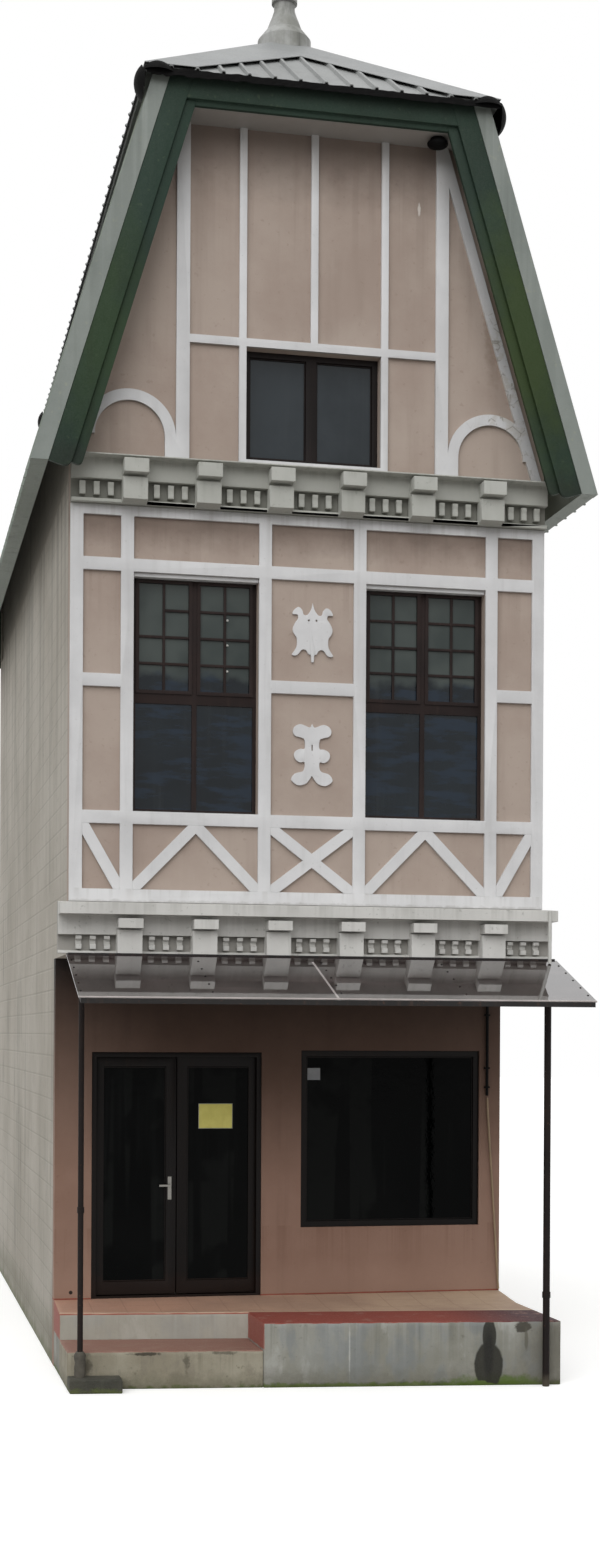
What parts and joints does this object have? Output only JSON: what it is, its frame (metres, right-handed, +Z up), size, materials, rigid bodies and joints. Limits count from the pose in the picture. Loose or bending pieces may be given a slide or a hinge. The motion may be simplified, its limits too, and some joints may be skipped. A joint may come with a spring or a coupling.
{
  "type": "shop house in a row",
  "caption": "Narrow shop house of a row: timbered bay over a raised porch, steep gabled roof with a hipped top, glazed double doors and a canopy on posts.",
  "frame": {"origin": "on the ground, midway along the front, below the front face of the bay's timbers", "axes": "+X to the right along the front, +Y into the house, +Z up"},
  "size_m": [4.964, 10.6652, 13.08],
  "materials": {
    "plaster_taupe": "matt painted plaster",
    "plaster_brown": "matt painted plaster",
    "plaster_plain": "matt painted plaster",
    "porch_tiles": "worn tiles over stained plaster",
    "step_plaster": "stained plaster",
    "concrete": "rough",
    "white_boards": "satin paint",
    "cornice_stone": "matt paint",
    "brown_joinery": "satin stain",
    "dark_glass": "clear",
    "handle_steel": "brushed",
    "dark_steel": "dull paint",
    "canopy_plastic": "glossy",
    "steep_metal": "dull paint",
    "top_metal": "dull metal",
    "finial_metal": "dull metal",
    "green_boards": "weathered paint"
  },
  "bodies": {
    "building": {"porch_block": "porch_tiles", "low_step": "step_plaster", "post_pad": "concrete", "ground_slab": "concrete", "party_wall_left": "plaster_plain", "party_wall_right": "plaster_plain", "front_wall_left": "plaster_brown", "front_wall_over_door": "plaster_brown", "front_wall_right": "plaster_brown", "door_frame": "brown_joinery", "door_hinges": "dark_steel", "shop_window_frame": "brown_joinery", "shop_window_glass": "dark_glass", "first_floor": "concrete", "bay_wall": "plaster_taupe", "bay_timbers": "white_boards", "bay_braces": "white_boards", "wall_ornaments": "white_boards", "bay_window_frames": "brown_joinery", "bay_window_glass": "dark_glass", "lower_cornice": "cornice_stone", "upper_cornice": "cornice_stone", "canopy_sheet": "canopy_plastic", "canopy_frame": "dark_steel", "canopy_posts": "dark_steel", "attic_floor": "concrete", "gable_wall": "plaster_taupe", "gable_timbers": "white_boards", "gable_window_frame": "brown_joinery", "gable_window_glass": "dark_glass", "steep_roof_left": "steep_metal", "steep_roof_right": "steep_metal", "hip_roof": "top_metal", "hip_cappings": "top_metal", "eaves_trim": "dark_steel", "corner_hoods": "dark_steel", "finial": "finial_metal", "barge_boards": "green_boards", "fascia_boards": "green_boards", "verge_flashings": "steep_metal", "verge_soffits": "white_boards", "rear_ground_wall": "plaster_plain", "rear_upper_wall": "plaster_plain", "rear_window_frames": "brown_joinery", "rear_window_glass": "dark_glass", "rear_barge_boards": "green_boards"},
    "left_door": {"left_leaf": "brown_joinery", "left_leaf_glass": "dark_glass", "door_handle": "handle_steel"},
    "right_door": {"right_leaf": "brown_joinery", "right_leaf_glass": "dark_glass"}
  },
  "joints": [
    {"name": "left_door_hinge", "type": "hinge", "parent": "building", "child": "left_door", "pos_m": [-1.735, 1.303, 0.608], "axis": [0, 0, 1], "range_deg": [0, 90]},
    {"name": "right_door_hinge", "type": "hinge", "parent": "building", "child": "right_door", "pos_m": [-0.227, 1.303, 0.608], "axis": [0, 0, -1], "range_deg": [0, 90]}
  ]
}
